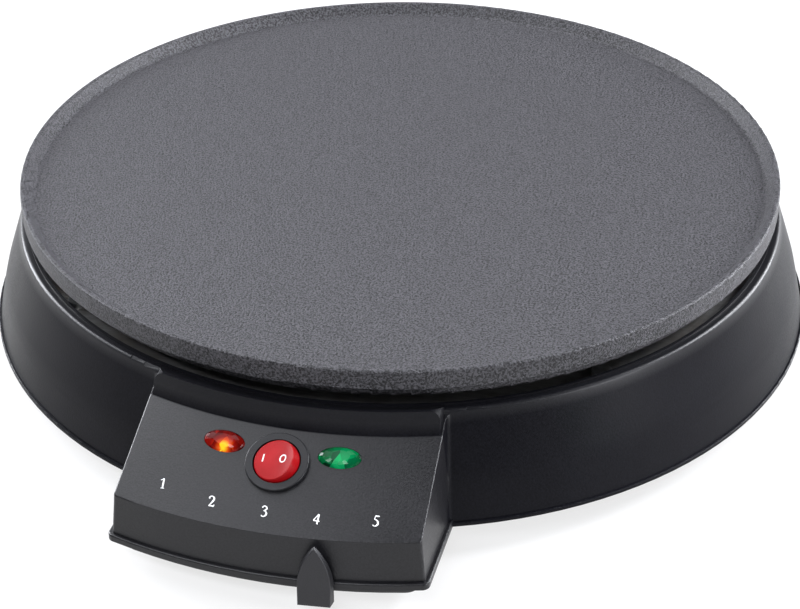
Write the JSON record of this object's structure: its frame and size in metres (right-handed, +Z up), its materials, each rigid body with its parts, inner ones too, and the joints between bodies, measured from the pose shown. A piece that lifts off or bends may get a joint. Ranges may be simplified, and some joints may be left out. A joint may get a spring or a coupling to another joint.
{
  "type": "electric crepe maker",
  "caption": "Round countertop griddle on a flared black base, with a sloping front panel that carries a rocker switch, two lamps and a sliding temperature lever.",
  "frame": {"origin": "middle of the footprint, at the bottom of the feet", "axes": "+Z up; +Y towards the back, where the cord enters; the control panel faces -Y; +X to the right of a person facing the panel"},
  "size_m": [0.3272, 0.3708, 0.068],
  "materials": {
    "cooking_coat": "cast plate under a satin, fine-grained dark non-stick coat",
    "housing_plastic": "satin moulded black plastic",
    "cover_plastic": "fine-textured moulded black plastic",
    "foot_rubber": "matt black rubber",
    "screw_steel": "zinc-plated steel",
    "shield_steel": "bright aluminised sheet",
    "element_sheath": "oxidised sheath, darkened by heat",
    "end_ceramic": "unglazed white ceramic",
    "spring_steel": "bright rolled strip",
    "thermostat_ceramic": "unglazed cream ceramic",
    "contact_brass": "rolled brass",
    "lever_steel": "zinc-plated strip",
    "knob_plastic": "fine-textured moulded black plastic",
    "switch_plastic": "semi-gloss black plastic",
    "rocker_red": "polished translucent red plastic",
    "lens_amber": "clear red-amber plastic, lit from behind",
    "lens_green": "clear green plastic, unlit",
    "print_white": "white pad print",
    "holder_plastic": "natural plastic",
    "lamp_glass": "clear glass bulb",
    "gland_plastic": "moulded black plastic",
    "block_plastic": "white moulded plastic",
    "fuse_case": "drawn metal case",
    "lead_brown": "brown silicone insulation",
    "lead_blue": "blue silicone insulation",
    "lead_green": "green and yellow silicone insulation",
    "lead_white": "white silicone insulation"
  },
  "bodies": {
    "base": {"griddle_plate": "cooking_coat", "housing": "housing_plastic", "base_cover": "cover_plastic", "base_screws": "screw_steel", "rubber_feet": "foot_rubber", "heating_element": "element_sheath", "element_ends": "end_ceramic", "heat_shield": "shield_steel", "plate_spacers": "screw_steel", "plate_screws": "screw_steel", "shield_screws": "screw_steel", "thermostat_bracket": "spring_steel", "bracket_screws": "screw_steel", "thermostat_body": "thermostat_ceramic", "thermostat_blades": "contact_brass", "switch_body": "switch_plastic", "switch_blades": "contact_brass", "power_lens": "lens_amber", "ready_lens": "lens_green", "lamp_holders": "holder_plastic", "neon_lamps": "lamp_glass", "cord_gland": "gland_plastic", "terminal_block": "block_plastic", "block_screws": "screw_steel", "thermal_fuse": "fuse_case", "fuse_clip": "spring_steel", "earth_screw": "screw_steel", "live_leads": "lead_brown", "neutral_lead": "lead_blue", "earth_lead": "lead_green", "lamp_leads": "lead_white"},
    "lever": {"thermostat_spindle": "screw_steel", "temperature_lever": "lever_steel", "lever_screw": "screw_steel", "lever_knob": "knob_plastic"},
    "rocker": {"switch_rocker": "rocker_red"},
    "contact": {"switch_contact": "contact_brass"}
  },
  "joints": [
    {"name": "temperature_turn", "type": "hinge", "parent": "base", "child": "lever", "pos_m": [0, 0.01631, 0.0169], "axis": [0, 0, 1], "range_deg": [-17.58, 5.86]},
    {"name": "switch_rock", "type": "hinge", "parent": "base", "child": "rocker", "pos_m": [0, -0.15469, 0.04115], "axis": [0, -0.8944, -0.4472], "range_deg": [-28, 0]},
    {"name": "contact_tip", "type": "hinge", "parent": "base", "child": "contact", "pos_m": [0, -0.15112, 0.03399], "axis": [0, -0.8944, -0.4472], "range_deg": [0, 18]}
  ],
  "couplings": [
    {"joint": "contact_tip", "follows": "switch_rock", "ratio": -0.6}
  ]
}
